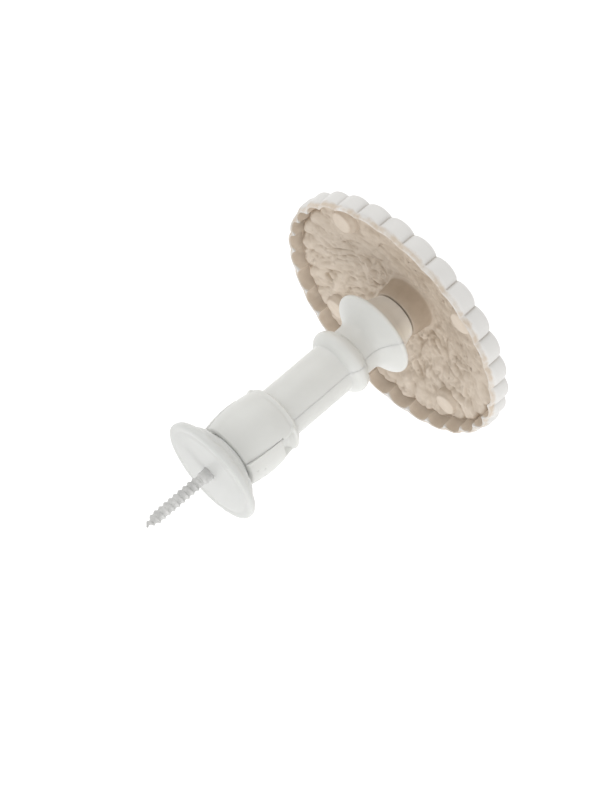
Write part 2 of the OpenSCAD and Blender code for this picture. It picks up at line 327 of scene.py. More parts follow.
def bump_chain(nt, b, layers, distance=0.0002):
    """layers of (height output, strength)"""
    prev = None
    for out, st in layers:
        bp = nt.nodes.new("ShaderNodeBump")
        bp.inputs["Strength"].default_value = st
        bp.inputs["Distance"].default_value = distance
        nt.links.new(out, bp.inputs["Height"])
        if prev:
            nt.links.new(prev.outputs["Normal"], bp.inputs["Normal"])
        prev = bp
    nt.links.new(prev.outputs["Normal"], b.inputs["Normal"])


def mix_rgb(nt, a, bcol, fac, blend="MIX"):
    n = nt.nodes.new("ShaderNodeMix")
    n.data_type = "RGBA"
    n.blend_type = blend
    for sock, v in ((n.inputs[0], fac), (n.inputs[6], a), (n.inputs[7], bcol)):
        if hasattr(v, "is_linked") or hasattr(v, "links"):
            nt.links.new(v, sock)
        elif isinstance(v, (tuple, list)):
            sock.default_value = (*v, 1)
        else:
            sock.default_value = v
    return n.outputs[2]


def white_plastic(name, tint, rough=0.34, seed=0.0):
    """moulded white plastic: faint clouding, fine orange peel, a little handling dirt"""
    m, nt, b = new_mat(name)
    big = obj_noise(nt, 55 + seed, 3, 0.5)
    r1 = ramp(nt, [(0.3, tuple(c * 0.965 for c in tint)), (0.7, tuple(min(1, c * 1.02) for c in tint))])
    nt.links.new(big.outputs["Fac"], r1.inputs["Fac"])
    dirt = obj_noise(nt, 210 + seed, 6, 0.62, 0.4)
    rd = ramp(nt, [(0.60, (0, 0, 0)), (0.80, (1, 1, 1))])
    nt.links.new(dirt.outputs["Fac"], rd.inputs["Fac"])
    f = nt.nodes.new("ShaderNodeMath"); f.operation = "MULTIPLY"; f.inputs[1].default_value = 0.10
    nt.links.new(rd.outputs["Color"], f.inputs[0])
    col = mix_rgb(nt, r1.outputs["Color"], (tint[0] * 0.80, tint[1] * 0.78, tint[2] * 0.72), f.outputs[0])
    nt.links.new(col, b.inputs["Base Color"])
    fine = obj_noise(nt, 900, 2, 0.5)
    rr = nt.nodes.new("ShaderNodeMapRange")
    rr.inputs["To Min"].default_value, rr.inputs["To Max"].default_value = rough - 0.06, rough + 0.10
    nt.links.new(dirt.outputs["Fac"], rr.inputs["Value"])
    nt.links.new(rr.outputs["Result"], b.inputs["Roughness"])
    b.inputs["IOR"].default_value = 1.49
    b.inputs["Subsurface Weight"].default_value = 0.55
    b.inputs["Subsurface Radius"].default_value = (1.0, 1.0, 0.95)
    b.inputs["Subsurface Scale"].default_value = 0.0022
    peel = obj_noise(nt, 480, 2, 0.4)
    bump_chain(nt, b, [(peel.outputs["Fac"], 0.10), (fine.outputs["Fac"], 0.05)], 0.0001)
    return m


def metal(name, col, rough=0.38, metallic=0.9, brush=None, bump=0.12):
    m, nt, b = new_mat(name)
    n1 = obj_noise(nt, 260, 5, 0.6, 0.2)
    r1 = ramp(nt, [(0.25, tuple(c * 0.72 for c in col)), (0.75, tuple(min(1, c * 1.12) for c in col))])
    nt.links.new(n1.outputs["Fac"], r1.inputs["Fac"])
    nt.links.new(r1.outputs["Color"], b.inputs["Base Color"])
    b.inputs["Metallic"].default_value = metallic
    n2 = obj_noise(nt, 1500, 3, 0.6)
    rr = nt.nodes.new("ShaderNodeMapRange")
    rr.inputs["To Min"].default_value, rr.inputs["To Max"].default_value = rough - 0.10, rough + 0.16
    nt.links.new(n1.outputs["Fac"], rr.inputs["Value"])
    nt.links.new(rr.outputs["Result"], b.inputs["Roughness"])
    bump_chain(nt, b, [(n2.outputs["Fac"], bump)], 0.00008)
    return m


WHITE = (0.694, 0.698, 0.676)
mat_white = white_plastic("white_plastic", WHITE)
mat_latch = white_plastic("white_plastic_latch", (0.700, 0.703, 0.680), seed=7)
mat_plate = white_plastic("white_plastic_plate", (0.640, 0.647, 0.633), seed=3)
mat_nylon = white_plastic("white_nylon", (0.72, 0.72, 0.695), 0.48, 5)
mat_hub = white_plastic("ivory_plastic", (0.74, 0.712, 0.665), 0.36, 9)


def painted_light_side(mat, direction, colour, lo, hi):
    """painted highlight: lighter colour on one side of a piece, by its place in the piece's own frame"""
    nt = mat.node_tree
    b = nt.nodes["Principled BSDF"]
    src = b.inputs["Base Color"].links[0].from_socket
    tc = nt.nodes.get("coords")
    d = nt.nodes.new("ShaderNodeVectorMath"); d.operation = "DOT_PRODUCT"
    d.inputs[1].default_value = direction
    nt.links.new(tc.outputs["Object"], d.inputs[0])
    mr = nt.nodes.new("ShaderNodeMapRange")
    mr.inputs["From Min"].default_value, mr.inputs["From Max"].default_value = lo, hi
    nt.links.new(d.outputs["Value"], mr.inputs["Value"])
    nt.links.new(mix_rgb(nt, src, colour, mr.outputs["Result"]), b.inputs["Base Color"])


# painted highlight: the spacer hub is lighter cream on its lower side, where light falls
painted_light_side(mat_hub, (math.cos(math.radians(208)), 0, math.sin(math.radians(208))), (1.0, 0.965, 0.885), 0.002, 0.0090)
mat_screw = metal("zinc_screw", (0.63, 0.63, 0.62), 0.55, 0.2)
mat_zinc = metal("zinc_steel", (0.62, 0.62, 0.60), 0.34, 0.95)
mat_spring = metal("spring_steel", (0.40, 0.40, 0.42), 0.30, 1.0)
mat_pin = metal("drawn_pin", (0.56, 0.56, 0.58), 0.25, 1.0)
mat_brass = metal("brass", (0.66, 0.47, 0.19), 0.30, 1.0)


def rubber():
    m, nt, b = new_mat("black_rubber")
    n = obj_noise(nt, 900, 5, 0.6)
    r = ramp(nt, [(0.3, (0.012, 0.012, 0.012)), (0.8, (0.035, 0.034, 0.033))])
    nt.links.new(n.outputs["Fac"], r.inputs["Fac"])
    nt.links.new(r.outputs["Color"], b.inputs["Base Color"])
    b.inputs["Roughness"].default_value = 0.72
    bump_chain(nt, b, [(n.outputs["Fac"], 0.3)], 0.0001)
    return m


mat_rubber = rubber()


def resin():
    """cast resin, bare beige at the back, with white paint on the edge and front.
    Attribute paint is 0 bare to 1 painted; the shading attribute is painted light, 0 in the hollows as painted shade
    to 1 on the high spots as painted highlight."""
    m, nt, b = new_mat("cast_resin")
    L = nt.links.new
    paint = add(nt, "ShaderNodeAttribute", attribute_name="paint")
    painted_shading = add(nt, "ShaderNodeAttribute", attribute_name="painted_shading")
    big = obj_noise(nt, 38, 4, 0.55, 0.3)
    mid = obj_noise(nt, 190, 6, 0.62, 0.2)
    fine = obj_noise(nt, 1100, 5, 0.65)
    base = ramp(nt, [(0.25, (0.590, 0.508, 0.420)), (0.55, (0.650, 0.568, 0.480)), (0.85, (0.705, 0.628, 0.542))])
    L(mid.outputs["Fac"], base.inputs["Fac"])
    cloud = ramp(nt, [(0.3, (0.90, 0.885, 0.87)), (0.7, (1.04, 1.04, 1.04))])
    L(big.outputs["Fac"], cloud.inputs["Fac"])
    c1 = mix_rgb(nt, base.outputs["Color"], cloud.outputs["Color"], 1.0, "MULTIPLY")
    # painted shading: the bare resin is darker in hollows as painted shade and lighter on high spots as painted
    # highlight
    cr = ramp(nt, [(0.0, (0.64, 0.585, 0.52)), (0.42, (0.95, 0.94, 0.925)), (0.75, (1.03, 1.03, 1.03)), (1.0, (1.10, 1.105, 1.11))])
    L(painted_shading.outputs["Fac"], cr.inputs["Fac"])
    c2 = mix_rgb(nt, c1, cr.outputs["Color"], 1.0, "MULTIPLY")
    # white paint with an uneven border
    d = nt.nodes.new("ShaderNodeMath"); d.operation = "MULTIPLY_ADD"
    d.inputs[1].default_value, d.inputs[2].default_value = 0.55, -0.275
    L(mid.outputs["Fac"], d.inputs[0])
    s = nt.nodes.new("ShaderNodeMath"); s.operation = "ADD"
    L(paint.outputs["Fac"], s.inputs[0]); L(d.outputs[0], s.inputs[1])
    pm = nt.nodes.new("ShaderNodeMapRange")
    pm.inputs["From Min"].default_value, pm.inputs["From Max"].default_value = 0.40, 0.60
    L(s.outputs[0], pm.inputs["Value"])
    pw = ramp(nt, [(0.2, (0.690, 0.682, 0.668)), (0.8, (0.740, 0.733, 0.720))])
    L(big.outputs["Fac"], pw.inputs["Fac"])
    # the white paint likewise gets painted shade in hollows and painted highlight on high spots
    pc = ramp(nt, [(0.0, (0.78, 0.745, 0.70)), (0.45, (0.97, 0.965, 0.955)), (1.0, (1.03, 1.03, 1.03))])
    L(painted_shading.outputs["Fac"], pc.inputs["Fac"])
    white = mix_rgb(nt, pw.outputs["Color"], pc.outputs["Color"], 1.0, "MULTIPLY")
    col = mix_rgb(nt, c2, white, pm.outputs["Result"])
    L(col, b.inputs["Base Color"])
    ro = nt.nodes.new("ShaderNodeMapRange")
    ro.inputs["To Min"].default_value, ro.inputs["To Max"].default_value = 0.66, 0.44
    L(pm.outputs["Result"], ro.inputs["Value"])
    L(ro.outputs["Result"], b.inputs["Roughness"])
    b.inputs["IOR"].default_value = 1.45
    bump_chain(nt, b, [(mid.outputs["Fac"], 0.16), (fine.outputs["Fac"], 0.22)], 0.00022)
    return m


mat_resin = resin()


def put(ob, mat):
    ob.data.materials.clear()
    ob.data.materials.append(mat)
    return ob


# ------------------------------------------------------------- threaded rods
def threaded(name, s0, s1, r_of, pitch, K=10, N=72, tip=0.0, extra0=(), extra1=()):
    """closed bar with a true helical thread: rows follow the helix, and are clamped at both ends.
    r_of(station, phase 0..1) gives the radius"""
    J = int(math.ceil((s1 - s0) / pitch * K)) + 1
    j = np.arange(-K - 1, J + 1)
    i = np.arange(N)
    JJ, II = np.meshgrid(j, i, indexing="ij")
    s = s0 + (JJ + K * II / N) * pitch / K
    sc = np.clip(s, s0, s1)
    ph = np.where(s == sc, JJ / K, (sc - s0) / pitch - II / N) % 1.0
    th = II / N * 2 * math.pi
    R = r_of(sc, ph)
    P = np.stack([R * np.cos(th), R * np.sin(th), sc], -1)
    nr = len(j)
    a = np.arange(nr - 1)
    q = []
    for ii in range(N - 1):
        q.append(np.stack([a * N + ii, a * N + ii + 1, (a + 1) * N + ii + 1, (a + 1) * N + ii], -1))
    # the last column joins the first one a full pitch further on
    aa = a[a + K + 1 < nr]
    q.append(np.stack([aa * N + N - 1, (aa + K) * N, (aa + K + 1) * N, (aa + 1) * N + N - 1], -1))
    P = P.reshape(-1, 3)
    ob_rows = []
    base = len(P)
    V = [P]
    T, Q2, NG = [], [], []
    # end rings and caps share the clamped rows' points by welding
    for s_end, extra, first in ((s0, extra0, True), (s1, extra1, False)):
        Rr = r_of(np.full(N, s_end), ((s_end - s0) / pitch - i / N) % 1.0)
        ring = np.stack([Rr * np.cos(i / N * 2 * math.pi), Rr * np.sin(i / N * 2 * math.pi), np.full(N, s_end)], -1)
        rings = [ring]
        for (re, se) in extra:
            rings.append(np.stack([re * np.cos(i / N * 2 * math.pi), re * np.sin(i / N * 2 * math.pi), np.full(N, se)], -1))
        st = sum(len(v) for v in V)
        V.append(np.vstack(rings))
        Q2.append(grid(len(rings), N, base=st) if len(rings) > 1 else np.zeros((0, 4), int))
        NG.append([st + (len(rings) - 1) * N + k for k in range(N)])
    V = np.vstack(V)
    quads = np.vstack(q + [x for x in Q2 if len(x)])
    return make(name, V, quads, ngons=NG, sharp=50, weld=0.002)


def thread_shape(ph, crest=0.06, root=0.30):
    """0 in the root, 1 on the crest, over one pitch"""
    d = np.abs(ph - 0.5)
    return np.clip((0.5 - root / 2 - d) / (0.5 - root / 2 - crest / 2), 0, 1) ** 1.15


# ------------------------------------------------------------------- screw
SCREW_S = -31.5
def screw_r(s, ph):
    core = 2.02 * sstep(0, 1, np.clip((s - SCREW_S) / 6.0, 0, 1)) ** 0.9 + 0.12
    full = 2.75 * np.clip(0.22 + (s - SCREW_S) / 6.5, 0, 1) ** 0.8
    fade = 1 - sstep(-4.4, -2.4, s)
    core = core + 0.1 * sstep(-4, -2.4, s)
    h = np.maximum(full - core, 0) * fade
    return np.maximum(core + h * thread_shape(ph), 0.05)


screw = threaded("wall_screw_v", SCREW_S + 0.02, -2.2, screw_r, 2.6, K=12, N=64,
                 extra0=((0.04, SCREW_S),), extra1=((2.1, -1.9), (2.45, -1.45), (2.66, -1.15), (2.72, -0.8), (2.72, 10.6)))
head = revolve("head", rounded([(0.0, 10.2), (2.72, 10.2, 0.3), (2.72, 10.9, 0.3), (4.9, 13.15, 0.15), (5.0, 13.25, 0.1), (5.0, 13.6, 0.15),
                                (4.2, 13.7, 0.3), (0, 13.7)]), nu=96, closed=False, step=0.8)
cut = []
for a in (45, 135):
    c, s_ = math.cos(math.radians(a)), math.sin(math.radians(a))
    rows = []
    for z, L, W in ((11.3, 0.8, 0.35), (14.2, 2.5, 0.6)):
        rows.append([(c * x - s_ * y, s_ * x + c * y, z) for x, y in ((-L, -W), (L, -W), (L, W), (-L, W))])
    cut.append(loft("cut", rows))
head = boolean(head, cut, sharp=35)
screw = put(join("wall_screw_v", [screw, head], 50), mat_screw)
attach(screw, "screw", "screw_steel", "wall_screw")

# -------------------------------------------------------------- wall plate
prof = np.vstack([
    rounded([(2.81, 3.6), (2.81, 2.7, 0.15), (18.9, 2.7, 1.6), (20.7, 3.02, 1.4), (22.2, 2.80, 0.8), (22.7, 2.79)]),
    spline([(23.0, 2.81), (23.6, 2.97), (24.05, 3.3), (24.27, 3.9), (24.25, 4.6), (24.0, 5.4), (23.3, 6.2), (22.3, 6.8), (21.2, 7.2), (20.4, 7.45)], 6),
    rounded([(20.1, 7.55, 0.3), (19.4, 7.75, 0.5), (19.0, 8.5, 0.5), (18.6, 9.4, 0.6), (17.5, 10.4, 0.7), (13.3, 10.42, 0.4), (12.85, 10.9, 0.3),
             (12.8, 12.4, 0.4), (12.35, 13.02, 0.1), (11.6, 13.02), (11.6, 7.4), (2.81, 7.4), (2.81, 5)]),
])
def plate_warp(R, S, th):
    # slight unevenness of a cheap moulding
    d = 0.05 * np.sin(3 * th + 0.6) + 0.03 * np.sin(7 * th + S * 0.8)
    k = sstep(20.5, 23.5, R)
    return R - np.abs(d) * k, S + 0.04 * np.sin(2 * th + 1) * k
plate = put(revolve("wall_plate_v", prof, nu=224, step=1.0, warp=plate_warp), mat_plate)
attach(plate, "plate", "white_plastic", "wall_plate")

stud = put(revolve("lock_stud_v", rounded([(3.2, 7.4), (11.4, 7.4), (11.4, 10.0, 0.3), (11.0, 10.4, 0.3), (9.6, 10.4, 0.5), (9.6, 12.5, 0.3),
    (8.6, 12.9, 0.2), (8.6, 15.0, 0.1), (7.5, 15.2, 0.15), (7.5, 18.6, 0.15), (8.6, 18.8, 0.1), (8.6, 26.2, 0.2), (7.8, 27, 0.2), (5.6, 27, 0.2),
    (5.6, 13.4, 0.2), (3.2, 10.9, 0.2)]), nu=128, step=1.5), mat_nylon)
attach(stud, "plate", "white_nylon", "lock_stud")

# -------------------------------------------------------------- foot barrel
def barrel(s):
    s = np.asarray(s, float)
    return 16.0 - 1.45 * (np.abs(s - 24.5) / np.where(s < 24.5, 11.3, 13.5)) ** 1.7


def barrel_low(s):
    return barrel(s) - 1.5 * np.clip((31 - s) / 17.8, 0, None)


def fold_angle(th):
    """angle from the nearest latch's middle, in degrees, 0..90"""
    d = np.degrees(th) % 180
    return np.minimum(d, 180 - d)


FS0, FS1 = 13.2, 40.8
def foot_surface(s, th):
    a = fold_angle(th)
    # lower beside one flank of each latch, nearly flush beside the other one
    low = 0.12 + 0.88 * sstep(-0.92, 0.0, -np.sin(2 * th))
    R = barrel(s) * (1 - low) + barrel_low(s) * low
    # neck into the end ring
    ring = 14.25
    R = np.where(s > 37.0, R * (1 - sstep(37.0, 38.6, s)) + ring * sstep(37.0, 38.6, s), R)
    # rounded ends
    R = R - 0.7 * np.clip(1 - (s - FS0) / 0.7, 0, 1) ** 2
    R = R - 1.1 * np.clip((s - (FS1 - 1.2)) / 1.2, 0, 1) ** 2
    # edges of the latch windows are a little rounded
    arc = np.radians(a - 34.2) * 15
    R = R - 0.06 * np.clip(1 - arc / 0.35, 0, 1) ** 2 * (s < 32.2) * (a > 34.2)
    # lip behind each finger scoop, fading out beside the window
    lip = np.interp(s, [36.0, 36.6, 37.3, 37.9, 38.15, 38.4, 38.75, 38.95, 39.2, 39.5], [12.5, 14.1, 14.6, 15.0, 15.2, 15.3, 15.3, 15.15, 14.3, 12.8])
    fl = 1 - sstep(30.5, 39, a)
    R = np.maximum(R, lip * fl + R * (1 - fl))
    # finger scoop behind each latch, deepest in its middle, up to the lip
    bottom = np.interp(s, [31.6, 32.8, 34.6, 36.2, 37.2, 37.8, 38.1], [12.2, 12.1, 11.9, 12.6, 13.9, 15.0, 15.6])
    k = (1 - sstep(24.5, 28.5, a)) * (s > 31.4) * (s < 38.1)
    R = R * (1 - k) + np.minimum(R, bottom) * k
    return R


def foot_profile_rows():
    s = np.unique(np.concatenate([np.arange(FS0, FS1, 0.3), [FS0 + 0.15, 32.2, 32.25, 37.45, 37.6, 38.15, 38.85, FS1 - 0.15, FS1],
                                  np.linspace(38.0, FS1, 16), np.linspace(FS0, FS0 + 0.8, 5)]))
    th = np.radians(np.unique(np.round(np.concatenate([np.arange(0, 360, 1.5)] + [
        np.array([-34.2, -34.9, -35.7, -36.3, 34.2, 34.9, 35.7, 36.3, -24.5, -25.5, -26.5, -27.5, -28.5, 24.5, 25.5, 26.5, 27.5, 28.5]) + k for k in (0, 180)]) % 360, 3)))
    R = foot_surface(s[:, None], th[None, :])
    S = s[:, None] + 0 * R
    # the bore and inner walls of the foot, as a profile round the axis
    inner = np.array([(11.6, FS1), (11.6, 38.0), (3.2, 38.0), (3.2, 35.2), (6.4, 35.2), (6.4, 27.3), (8.66, 27.3), (8.66, 20), (8.66, 13.5), (8.96, FS0)])
    inner = densify(inner, 2.5)
    Ri = inner[:, :1] + 0 * th[None, :]
    Si = inner[:, 1:] + 0 * th[None, :]
    R, S = np.vstack([R, Ri]), np.vstack([S, Si])
    P = np.stack([R * np.cos(th), R * np.sin(th), S], -1)
    return P


P = foot_profile_rows()
foot = make("foot_barrel_v", P.reshape(-1, 3), grid(P.shape[0], P.shape[1], True, True), sharp=38)


def sector_rows(half, r_in, r_out, s_list, n=25):
    rows = []
    a = np.radians(np.linspace(-half, half, n))
    for s in s_list:
        outer = [(r_out * math.cos(x), r_out * math.sin(x), s) for x in a]
        inn = [(r_in * math.cos(x), r_in * math.sin(x), s) for x in a[::-1]]
        rows.append(outer + inn)
    return rows


def turn180(rows):
    rows = np.asarray(rows, float).copy()
    rows[..., 0] *= -1
    rows[..., 1] *= -1
    return rows


cut = []
for flip in (False, True):
    A = sector_rows(34.2, 8.6, 20, (FS0 - 1, 32.2))
    B = sector_rows(34.2, 8.0, 12.0, (FS0 - 1, 27.3))
    f = turn180 if flip else (lambda r: np.asarray(r, float))
    cut += [loft("cut", f(A)), loft("cut", f(B))]
foot = put(boolean(foot, cut, sharp=38), mat_white)
attach(foot, "post", "white_plastic", "foot_barrel")

# ------------------------------------------------------------------ latches
LS0, LS1, HALF = 13.2, 31.2, 34.2                     # the flanks clear the window's sides more towards the free end
def latch_rows(name):
    s_list = np.unique(np.concatenate([[LS0, LS0 + 0.08, LS0 + 0.2, LS0 + 0.4, LS0 + 0.7], np.arange(LS0 + 1, LS1 - 0.9, 0.35),
                                       [LS1 - 0.8, LS1 - 0.55, LS1 - 0.35, LS1 - 0.18, LS1 - 0.07, LS1]]))
    t = np.unique(np.concatenate([np.linspace(-1, 1, 61), [-0.995, -0.985, -0.975, 0.975, 0.985, 0.995]]))
    rows = []
    for s in s_list:
        base = float(barrel(s)) + 0.12
        e0, e1 = (s - LS0), (LS1 - s)
        base -= 0.75 * max(0, 1 - e0 / 0.7) ** 2 + 0.75 * max(0, 1 - e1 / 0.8) ** 2
        arc = (1 - np.abs(t)) * math.radians(HALF) * 15
        R = base - 0.16 * np.clip(1 - arc / 0.3, 0, 1) ** 2
        gap = 0.03 + 0.044 * max(0, s - 23.6)
        a = (math.radians(HALF) - math.asin(gap / base)) * t
        # two small round dimples on each flank
        for sd, ad in ((16.2, 14.3), (19.4, 8.3)):
            for m in (-1, 1):
                d = np.hypot((s - sd), (np.degrees(a) - m * ad) * math.pi / 180 * 15.5)
                R = R - 0.45 * np.clip(1 - (d / 0.75) ** 2, 0, 1)
        outer = [(r * math.cos(x), r * math.sin(x), s) for r, x in zip(R, a)]
        ai = (math.radians(HALF) - math.asin(gap / 9.9)) * t[::-1][::6]
        inn = [(9.9 * math.cos(x), 9.9 * math.sin(x), s) for x in ai]
        rows.append(outer + inn)
    return rows


def bar_between(p, d, r, length, n=28, name="bar"):
    """round bar from p along d, local mm"""
    p, d = np.array(p, float), np.array(d, float)
    d = d / np.linalg.norm(d)
    u = np.cross(d, [0, 0, 1.0] if abs(d[2]) < 0.9 else [1.0, 0, 0]); u /= np.linalg.norm(u)
    v = np.cross(d, u)
    th = np.arange(n) / n * 2 * math.pi
    rows = [p + d * t + r * (np.cos(th)[:, None] * u + np.sin(th)[:, None] * v) for t in (0, length)]
    return loft(name, rows)


for side, flip in (("right", False), ("left", True)):
    f = turn180 if flip else (lambda r: np.asarray(r, float))
    m = -1.0 if flip else 1.0
    body = loft("latch", f(latch_rows(side)), sharp=38)
    hook = sector_rows(20, 8.19, 10.6, (15.6, 18.2), 9)
    hook = np.asarray(hook, float)
    hk = loft("hook", f(hook))
    body = boolean(body, [hk], "UNION", 38)
    body = boolean(body, [bar_between((m * 11.4, -12, 24), (0, 1, 0), 0.85, 24), bar_between((m * 9.0, 0, 28.9), (m, 0, 0), 1.75, 3.6)], sharp=38)
    body.name = "release_latch_%s_v" % side
    put(body, mat_latch)
    attach(body, "latch_" + side, "white_plastic", "release_latch_" + side)
    # coil spring in its pocket
    turns, wire, rr = 5.0, 0.24, 1.2
    nseg = int(turns * 20)
    pts = []
    for k in range(nseg + 1):
        tt = k / nseg
        x = 8.65 + wire + (3.4 - 2 * wire) * tt
        an = tt * turns * 2 * math.pi
        pts.append((m * x, rr * math.cos(an), 28.9 + rr * math.sin(an)))
    pts = np.array(pts)
    T = np.gradient(pts, axis=0)
    T /= np.linalg.norm(T, axis=1)[:, None]
    cc = np.stack([pts[:, 0], 0 * pts[:, 0], 28.9 + 0 * pts[:, 0]], -1)
    Nn = pts - cc
    Nn /= np.linalg.norm(Nn, axis=1)[:, None]
    Bb = np.cross(T, Nn)
    Nn = np.cross(Bb, T)
    ph = np.arange(10) / 10 * 2 * math.pi
    rows = pts[:, None, :] + wire * (np.cos(ph)[None, :, None] * Nn[:, None, :] + np.sin(ph)[None, :, None] * Bb[:, None, :])
    sp = put(loft("latch_spring_%s_v" % side, rows), mat_spring)
    attach(sp, "post", "spring_steel", "latch_spring_" + side)
    pin = rounded([(0, -9.4), (0.62, -9.4), (0.8, -9.2), (0.8, 9.2), (0.62, 9.4), (0, 9.4)])
    th = np.arange(32) / 32 * 2 * math.pi
    rows = [[(m * 11.4 + r * math.cos(x), z, 24 + r * math.sin(x)) for x in th] for r, z in pin[1:-1]]
    pn = put(loft("latch_pin_%s_v" % side, rows), mat_pin)
    attach(pn, "post", "pin_steel", "latch_pin_" + side)

# -------------------------------------------------------------- post shells
SEAM = 145.0
post_out = np.vstack([
    np.array([(11.5, 38.05), (11.5, 72.9)]),
    rounded([(11.5, 72.9), (11.5, 73.6, 0.5), (12.1, 74.05)]),
    spline([(12.4, 74.2), (13.6, 75.05), (14.65, 76.4), (15.1, 78.1), (14.65, 79.8), (13.6, 81.15), (12.2, 82.2)], 7),
    rounded([(11.9, 82.45), (11.3, 82.9, 0.5), (11.25, 83.8)]),
    spline([(11.2, 84.5), (11.2, 87.6), (11.55, 89.6), (12.6, 91.4), (14.3, 93.1), (16.4, 94.7), (18.3, 95.9), (19.35, 96.6), (19.9, 97.4)], 7),
    rounded([(19.9, 97.42), (19.85, 98.2, 0.3), (19.2, 98.6, 0.3), (18.0, 98.6)]),
])
post_in = np.array([(3.2, 98.6), (3.2, 94.6), (9.1, 94.6), (9.1, 41), (3.2, 41), (3.2, 38.05)])
loop = densify(np.vstack([post_out, post_in]), 1.1, True)


def shell(name, up):
    a0 = SEAM + (180 if up else 0)
    edge = np.array([0, 0.25, 0.6, 1.0, 1.5, 2.2, 3.2])
    ang = np.concatenate([edge, np.arange(4.5, 175.6, 1.8), 180 - edge[::-1]])
    rows = []
    grow = 0.0 if up else 0.06
    for a in ang:
        R, S = loop[:, 0].copy(), loop[:, 1].copy()
        outer = np.arange(len(loop)) < int(np.argmax(loop[:, 1] > 98.59)) + 1
        e = min(a, 180 - a)
        arc = math.radians(e) * R
        drop = 0.075 * (1 - 0.6 * sstep(89.5, 94.5, S)) * np.clip(1 - arc / 0.38, 0, 1) ** 1.5
        R = np.where(outer, R - drop + grow * (S > 42), R)
        x = math.radians(a0 + a)
        rows.append(np.stack([R * math.cos(x), R * math.sin(x), S], -1))
    return loft(name, rows, sharp=42)


for nm, up in (("post_shell_upper", True), ("post_shell_lower", False)):
    ob = shell(nm + "_v", up)
    put(ob, mat_white)
    attach(ob, "post", "white_plastic", nm)

# --------------------------------------------------------------- spacer hub
hub = put(revolve("spacer_hub_v", np.vstack([
    rounded([(3.2, 98.6), (15.4, 98.6, 0.2), (15.55, 99.1, 0.3), (15.3, 99.6)]),
    spline([(15.2, 99.8), (14.75, 100.8), (14.0, 102.3), (13.0, 104.0), (12.2, 105.8), (11.5, 107.9), (11.1, 109.4)], 5),
    rounded([(11.05, 109.7), (10.85, 110.1, 0.25), (9.5, 110.1), (3.2, 110.1)])]), nu=160), mat_hub)
attach(hub, "post", "ivory_plastic", "spacer_hub")
wash = put(revolve("rubber_washer_v", rounded([(3.2, 110.1), (10.1, 110.1, 0.1), (10.2, 110.3, 0.1), (10.1, 110.5, 0.1), (3.2, 110.5)]), nu=128), mat_rubber)
attach(wash, "post", "black_rubber", "rubber_washer")

# ---------------------------------------------------------------- tie rod
def rod_r(s, ph):
    end = np.minimum(np.clip((s - 28.2) / 0.7, 0, 1), np.clip((119.5 - s) / 0.7, 0, 1))
    return 2.45 + 0.55 * thread_shape(ph, 0.12, 0.16) * end
rod = put(threaded("tie_rod_v", 28.2, 119.5, rod_r, 1.0, K=6, N=40, extra0=(), extra1=()), mat_zinc)
attach(rod, "post", "zinc_steel", "tie_rod")


def hex_nut():
    nu = 144
    th = np.arange(nu) / nu * 2 * math.pi
    hexr = 5.0 / np.cos((th + math.pi / 6) % (math.pi / 3) - math.pi / 6)
    rows = []
    for s, cap in ((28.8, 4.95), (28.95, 5.2), (29.25, 5.5), (29.6, 6.0), (32.4, 6.0), (32.75, 5.5), (33.05, 5.2), (33.2, 4.95)):
        R = np.minimum(hexr, cap)
        rows.append(np.stack([R * np.cos(th), R * np.sin(th), np.full(nu, s)], -1))
    for r, s in ((3.35, 33.2), (3.06, 32.9), (3.06, 29.1), (3.35, 28.8)):
        rows.append(np.stack([r * np.cos(th), r * np.sin(th), np.full(nu, s)], -1))
    rows = np.array(rows)
    return make("rod_nut_v", rows.reshape(-1, 3), grid(len(rows), nu, True, True), sharp=25)


nut = put(hex_nut(), mat_zinc)
attach(nut, "post", "zinc_steel", "rod_nut")
wsh = put(revolve("rod_washer_v", rounded([(3.2, 34.2), (6.0, 34.2, 0.12), (6.1, 34.7, 0.2), (6.0, 35.2, 0.12), (3.2, 35.2)]), nu=96), mat_zinc)
attach(wsh, "post", "zinc_steel", "rod_washer")
a = np.radians(np.linspace(6, 352, 80))
rows = []
for x in a:
    t = (x - a[0]) / (a[-1] - a[0])
    z = 33.2 + 0.12 * (0.5 - t)
    rows.append([(r * math.cos(x), r * math.sin(x), min(max(zz, 33.2), 34.2)) for r, zz in ((3.15, z), (5.0, z), (5.0, z + 0.95), (3.15, z + 0.95))])
sw = put(loft("rod_spring_washer_v", rows), mat_spring)
attach(sw, "post", "spring_steel", "rod_spring_washer")

# -------------------------------------------------------------------- insert
def knurl(R, S, th):
    k = (R > 4.5) & (R < 4.7) & (S > 112.3)
    g = 0.16 * (np.abs(((th * 24 / (2 * math.pi) + S * 0.35) % 1) - 0.5) * 2 > 0.55) * k
    g2 = 0.16 * (np.abs(((th * 24 / (2 * math.pi) - S * 0.35) % 1) - 0.5) * 2 > 0.55) * k
    return R - np.maximum(g, g2), S
ins = put(revolve("threaded_insert_v", rounded([(0, 120.8), (3.06, 120.8), (3.06, 111.4), (3.4, 111.0), (5.5, 111.0, 0.1), (5.6, 111.1, 0.1), (5.6, 111.9, 0.1),
    (5.5, 112.0, 0.1), (4.6, 112.0), (4.6, 115.2), (4.2, 115.3), (4.2, 116.0), (4.6, 116.1), (4.6, 122.1), (4.5, 122.2), (0, 122.2)]), nu=192, closed=False, step=0.4, warp=knurl, sharp=30), mat_brass)
attach(ins, "rosette_body", "brass", "threaded_insert")

# ------------------------------------------------------------------- rosette
NL, PHASE, RR, DEEP = 29, math.radians(0.1), 60.98, 1.8
def outline(th, radius=RR, deep=DEEP):
    """radius of the scalloped outline, and the place within the lobe, -0.5..0.5"""
    st = 2 * math.pi / NL
    u = ((th - PHASE) / st + 0.5) % 1 - 0.5
    notch = radius - deep
    dx, dy = radius - notch * math.cos(st / 2), notch * math.sin(st / 2)
    lobe = (dx * dx + dy * dy) / (2 * dx)
    d = u * st
    c = radius - lobe
    return c * np.cos(d) + np.sqrt(lobe * lobe - (c * np.sin(d)) ** 2), u


